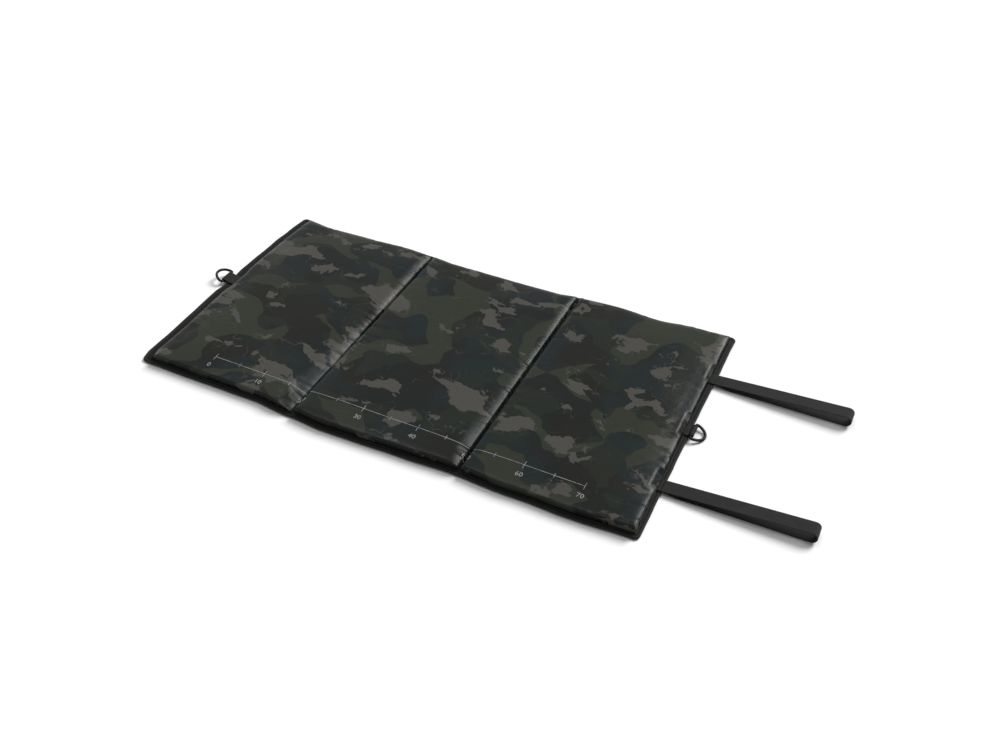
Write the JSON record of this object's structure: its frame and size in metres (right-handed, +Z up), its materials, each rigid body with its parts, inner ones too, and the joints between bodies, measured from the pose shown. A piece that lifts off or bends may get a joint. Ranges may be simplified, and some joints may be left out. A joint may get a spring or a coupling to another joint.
{
  "type": "unhooking mat",
  "caption": "Folding padded fish unhooking mat with stuffed panels joined by fold seams, bound rim, printed length scale, end rings and webbing loop straps.",
  "frame": {"origin": "on the ground, under the middle of the middle panel, on its flat underside", "axes": "+X runs along the mat's length to the end with the two straps, +Y runs to the back edge, +Z is up from the underside to the padded face"},
  "size_m": [1.1741, 0.5, 0.024],
  "materials": {
    "patterned_cloth": "satin",
    "base_cloth": "matte",
    "foam": "matte",
    "binding_tape": "matte",
    "webbing": "matte",
    "black_metal": "satin"
  },
  "bodies": {
    "middle_panel": {"foam_pad_middle": "foam", "top_cover_middle": "patterned_cloth", "bottom_cover_middle": "base_cloth", "binding_middle_front": "binding_tape", "binding_middle_back": "binding_tape"},
    "left_panel": {"foam_pad_left": "foam", "top_cover_left": "patterned_cloth", "bottom_cover_left": "base_cloth", "binding_left": "binding_tape", "d_ring_tab_left": "webbing"},
    "right_panel": {"foam_pad_right": "foam", "top_cover_right": "patterned_cloth", "bottom_cover_right": "base_cloth", "binding_right": "binding_tape", "d_ring_tab_right": "webbing", "strap_anchor_front": "webbing", "strap_anchor_back": "webbing"},
    "left_ring": {"d_ring_left": "black_metal"},
    "right_ring": {"d_ring_right": "black_metal"},
    "front_strap": {"strap_loop_front": "webbing"},
    "back_strap": {"strap_loop_back": "webbing"}
  },
  "joints": [
    {"name": "fold_left", "type": "hinge", "parent": "middle_panel", "child": "left_panel", "pos_m": [-0.151, 0, 0.0245], "axis": [0, 1, 0], "range_deg": [0, 179.8]},
    {"name": "fold_right", "type": "hinge", "parent": "middle_panel", "child": "right_panel", "pos_m": [0.151, 0, 0.037], "axis": [0, -1, 0], "range_deg": [0, 179.8]},
    {"name": "ring_left_swing", "type": "hinge", "parent": "left_panel", "child": "left_ring", "pos_m": [-0.474, 0.015, 0.00785], "axis": [0, 1, 0], "range_deg": [-36.3, 148]},
    {"name": "ring_right_swing", "type": "hinge", "parent": "right_panel", "child": "right_ring", "pos_m": [0.4475, 0.0025, 0.00785], "axis": [0, -1, 0], "range_deg": [0, 155]},
    {"name": "strap_front_swing", "type": "hinge", "parent": "right_panel", "child": "front_strap", "pos_m": [0.443, -0.13, 0.0072], "axis": [0, 1, 0], "range_deg": [-135, 0]},
    {"name": "strap_back_swing", "type": "hinge", "parent": "right_panel", "child": "back_strap", "pos_m": [0.443, 0.14, 0.0072], "axis": [0, 1, 0], "range_deg": [-135, 0]}
  ]
}
